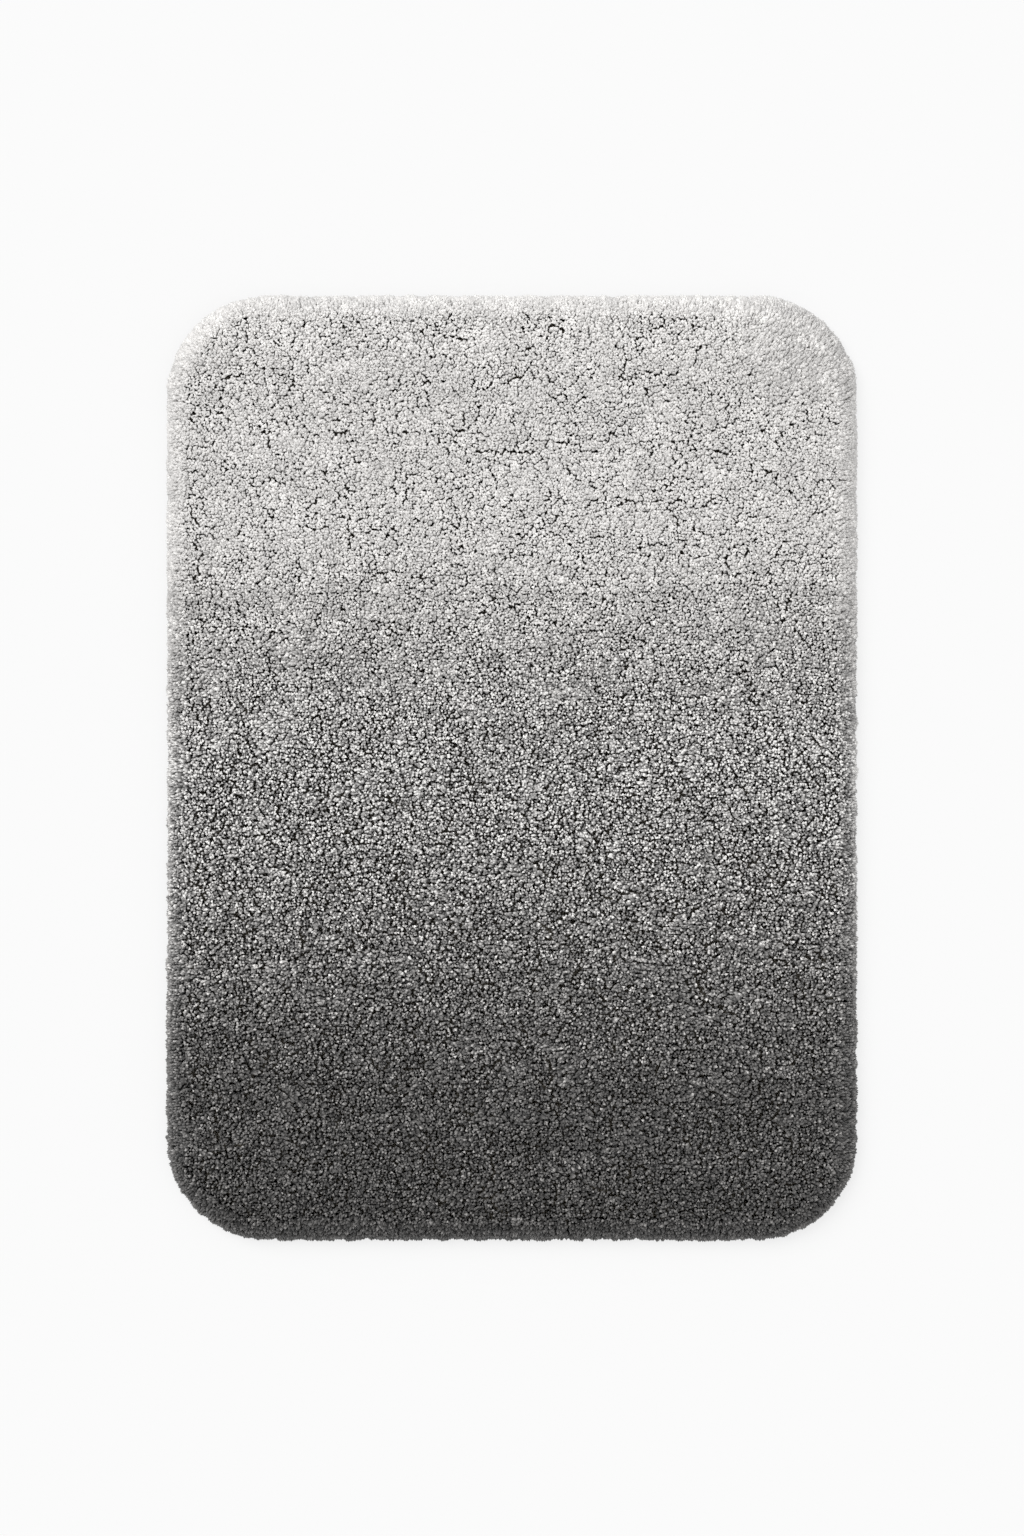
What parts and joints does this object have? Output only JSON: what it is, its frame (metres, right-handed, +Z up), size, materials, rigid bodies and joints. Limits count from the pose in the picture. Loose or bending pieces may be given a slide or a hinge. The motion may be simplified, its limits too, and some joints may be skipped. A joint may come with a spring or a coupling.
{
  "type": "bath mat",
  "caption": "Tufted bath mat with round corners, a dense cut pile shading from pale grey to charcoal and an anti-slip underside.",
  "frame": {"origin": "centre of the underside, on the surface the mat lies on", "axes": "+Z up through the pile, +Y along the length towards the pale end, +X across the width"},
  "size_m": [0.55, 0.753, 0.022],
  "materials": {
    "pile_yarn_01": "soft cut microfibre yarn, matt with a faint sheen",
    "pile_yarn_02": "soft cut microfibre yarn, matt with a faint sheen",
    "pile_yarn_03": "soft cut microfibre yarn, matt with a faint sheen",
    "pile_yarn_04": "soft cut microfibre yarn, matt with a faint sheen",
    "pile_yarn_05": "soft cut microfibre yarn, matt with a faint sheen",
    "pile_yarn_06": "soft cut microfibre yarn, matt with a faint sheen",
    "pile_yarn_07": "soft cut microfibre yarn, matt with a faint sheen",
    "pile_yarn_08": "soft cut microfibre yarn, matt with a faint sheen",
    "pile_yarn_09": "soft cut microfibre yarn, matt with a faint sheen",
    "pile_yarn_10": "soft cut microfibre yarn, matt with a faint sheen",
    "pile_yarn_11": "soft cut microfibre yarn, matt with a faint sheen",
    "pile_yarn_12": "soft cut microfibre yarn, matt with a faint sheen",
    "backing_cloth": "plain weave, undyed",
    "edge_thread": "twisted polyester thread, matt",
    "latex": "smooth dried latex",
    "anti_slip": "matt grippy coat with a small raised pattern",
    "label_tape": "woven satin tape, blank",
    "label_thread": "polyester sewing thread"
  },
  "bodies": {
    "root": {"pile_shade_01": "pile_yarn_01", "pile_shade_02": "pile_yarn_02", "pile_shade_03": "pile_yarn_03", "pile_shade_04": "pile_yarn_04", "pile_shade_05": "pile_yarn_05", "pile_shade_06": "pile_yarn_06", "pile_shade_07": "pile_yarn_07", "pile_shade_08": "pile_yarn_08", "pile_shade_09": "pile_yarn_09", "pile_shade_10": "pile_yarn_10", "pile_shade_11": "pile_yarn_11", "pile_shade_12": "pile_yarn_12", "backing_cloth": "backing_cloth", "overlock_edge": "edge_thread", "latex_coat": "latex", "anti_slip_backing": "anti_slip", "care_label": "label_tape", "label_stitching": "label_thread"}
  },
  "joints": []
}
